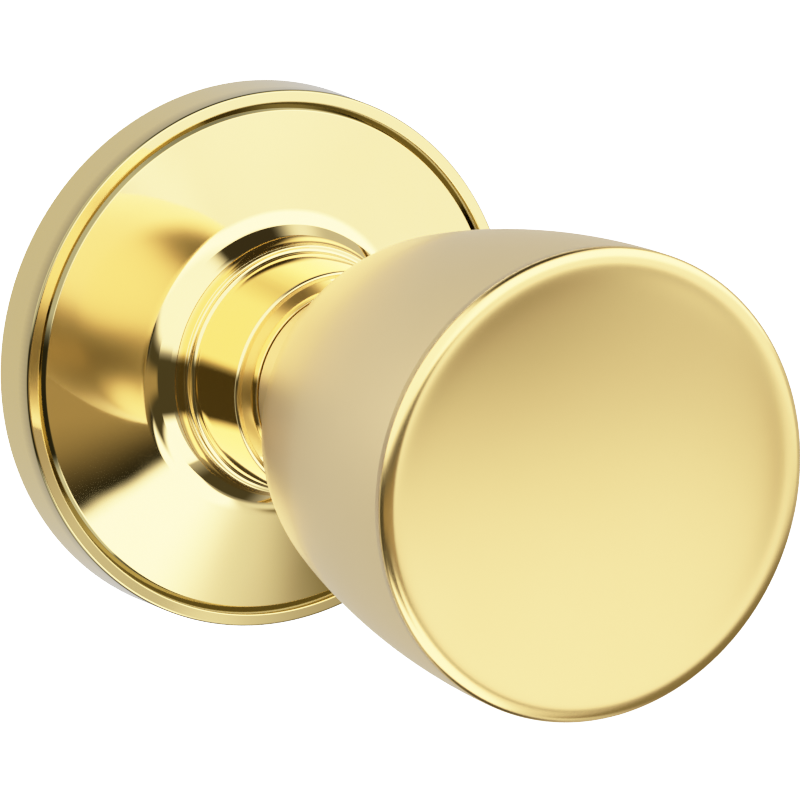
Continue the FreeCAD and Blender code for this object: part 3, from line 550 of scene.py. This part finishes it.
# ---------------------------------------------------------------- camera

VIEW_AZIMUTH = -28.69
VIEW_ELEVATION = 12.39
VIEW_DISTANCE = 0.9177
LENS_LENGTH = 360.0
VIEW_CENTRE = Vector((-0.00167, -0.0415, 0.00192))


def make_camera():
    azimuth, elevation = math.radians(VIEW_AZIMUTH), math.radians(VIEW_ELEVATION)
    back = Vector((math.sin(azimuth) * math.cos(elevation), -math.cos(azimuth) * math.cos(elevation),
                   math.sin(elevation)))
    lens = bpy.data.cameras.new("camera")
    lens.sensor_width = 36.0
    lens.lens = LENS_LENGTH
    lens.clip_end = 50.0
    camera = bpy.data.objects.new("camera", lens)
    camera.location = VIEW_CENTRE + back * VIEW_DISTANCE
    camera.rotation_euler = (-back).to_track_quat("-Z", "Y").to_euler()
    bpy.context.scene.collection.objects.link(camera)
    bpy.context.scene.camera = camera


make_camera()

# ---------------------------------------------------------------- studio

# The studio as seen from the knob, painted in this order. Azimuth is measured from straight
# out of the door towards +X, elevation from level, both in degrees, and brightness is in the
# units of the film curve below, where 2.5 is paper white.
STUDIO = [
    # what, azimuth from and to, elevation from and to, soft edges, colour, brightness
    ("left bounce card", (-138, 2), (5, 76), (9, 4), "#FFFFFF", 1.9),
    ("soft box above and in front", (-4, 84), (4, 76), (9, 5), "#FFFFFF", 2.5),
    ("right bounce card", (15, 66), (-15, 12), (4, 7), "#FFFFFF", 1.55),
    ("light table", (-75, 24), (-66, -24), (8, 1), "#FFFFFF", 2.4),
    ("far corner of the table", (24, 60), (-66, -29), (7, 5), "#FFFFFF", 1.0),
    ("shade beside the table", (33, 110), (-52, -20), (6, 6), "#6A6450", 1.6),
    ("dark floor on the left", (-112, -10), (-36, 2), (8, 4), "#4A4636", 1.0),
    ("dark floor beyond the table", (-14, 14), (-23.5, 2), (4, 0.7), "#2A281E", 1.0),
    ("warm bench on that floor", (-45, 15), (-19, -9), (6, 4), "#D8C090", 0.6),
    ("dark ceiling", (-38, 200), (57, 110), (10, 11), "#38342A", 1.0),
    ("dark ceiling on the left", (-200, -34), (70, 110), (10, 8), "#38342A", 1.0),
    ("dark under the table", (-200, 200), (-110, -70), (1, 8), "#4A4636", 1.0),
]
SURROUND = 0.66
PAPER = 3.0
WHITE_LEVEL = 2.5


def panorama(tree):
    """Cards painted over an even surround, each a soft-edged window in azimuth and elevation."""
    way = add(tree, "ShaderNodeTexCoord").outputs["Generated"]
    axes = add(tree, "ShaderNodeSeparateXYZ", {0: way})
    outward = add(tree, "ShaderNodeMath", {0: axes.outputs["Y"], 1: -1.0}, operation="MULTIPLY")
    azimuth = add(tree, "ShaderNodeMath", {0: axes.outputs["X"], 1: outward.outputs[0]}, operation="ARCTAN2")
    elevation = add(tree, "ShaderNodeMath", {0: axes.outputs["Z"]}, operation="ARCSINE")
    painted = add(tree, "ShaderNodeRGB").outputs[0]
    painted.default_value = (SURROUND, SURROUND, SURROUND, 1)
    for name, across, up, soften, shade, brightness in STUDIO:
        edges = [(azimuth, across[0], soften[0], 1), (azimuth, across[1], soften[0], -1),
                 (elevation, up[0], soften[1], 1), (elevation, up[1], soften[1], -1)]
        mask = None
        for angle, edge, soft, sense in edges:
            ramp = add(tree, "ShaderNodeMapRange", {
                "Value": angle.outputs[0],
                "From Min": math.radians(edge - soft * sense),
                "From Max": math.radians(edge + soft * sense),
            }, interpolation_type="SMOOTHSTEP").outputs["Result"]
            mask = ramp if mask is None else add(tree, "ShaderNodeMath", {0: mask, 1: ramp},
                                                 operation="MULTIPLY").outputs[0]
        light = tuple(part * brightness for part in colour(shade)[:3]) + (1.0,)
        painted = add(tree, "ShaderNodeMixRGB", {
            "Fac": mask, "Color1": painted, "Color2": light,
        }).outputs[0]
    return painted


def make_world():
    """The painted studio lights the knob, and the camera itself sees only plain white."""
    world = bpy.data.worlds.new("studio")
    bpy.context.scene.world = world
    world.use_nodes = True
    tree = world.node_tree
    paper = (PAPER, PAPER, PAPER, 1.0)
    seen = add(tree, "ShaderNodeLightPath").outputs["Is Camera Ray"]
    sky = add(tree, "ShaderNodeMixRGB", {"Fac": seen, "Color1": panorama(tree), "Color2": paper})
    tree.links.new(sky.outputs[0], tree.nodes["Background"].inputs["Color"])


def set_film():
    """A soft shoulder: mid tones pass straight through and highlights roll off to white at 2.5."""
    view = bpy.context.scene.view_settings
    view.view_transform = "Standard"
    view.use_curve_mapping = True
    film = view.curve_mapping
    film.white_level = (WHITE_LEVEL, WHITE_LEVEL, WHITE_LEVEL)
    curve = film.curves[3]
    for across, up in ((0.12, 0.30), (0.24, 0.57), (0.36, 0.76), (0.52, 0.90), (0.74, 0.97)):
        curve.points.new(across, up)
    film.update()


def make_floor():
    """A plain pale sweep below and behind the knob. Only the camera sees it."""
    corners = [(-1.5, -0.1, -0.5), (1.5, -0.1, -0.5), (1.5, 3.0, -0.5), (-1.5, 3.0, -0.5)]
    mesh = bpy.data.meshes.new("floor")
    mesh.from_pydata(corners, [], [(0, 1, 2, 3)])
    floor = bpy.data.objects.new("floor", mesh)
    bpy.context.scene.collection.objects.link(floor)
    material, tree, principled = new_material("pale_floor", Roughness=0.9, Emission_Strength=2.4)
    grain = shades(tree, surface(tree, 40), "#FCFCFB", "#FFFFFF")
    finish(tree, principled, {"Base Color": grain, "Emission Color": grain})
    mesh.materials.append(material)
    floor.visible_diffuse = False
    floor.visible_glossy = False
    floor.visible_shadow = False


make_world()
make_floor()
set_film()
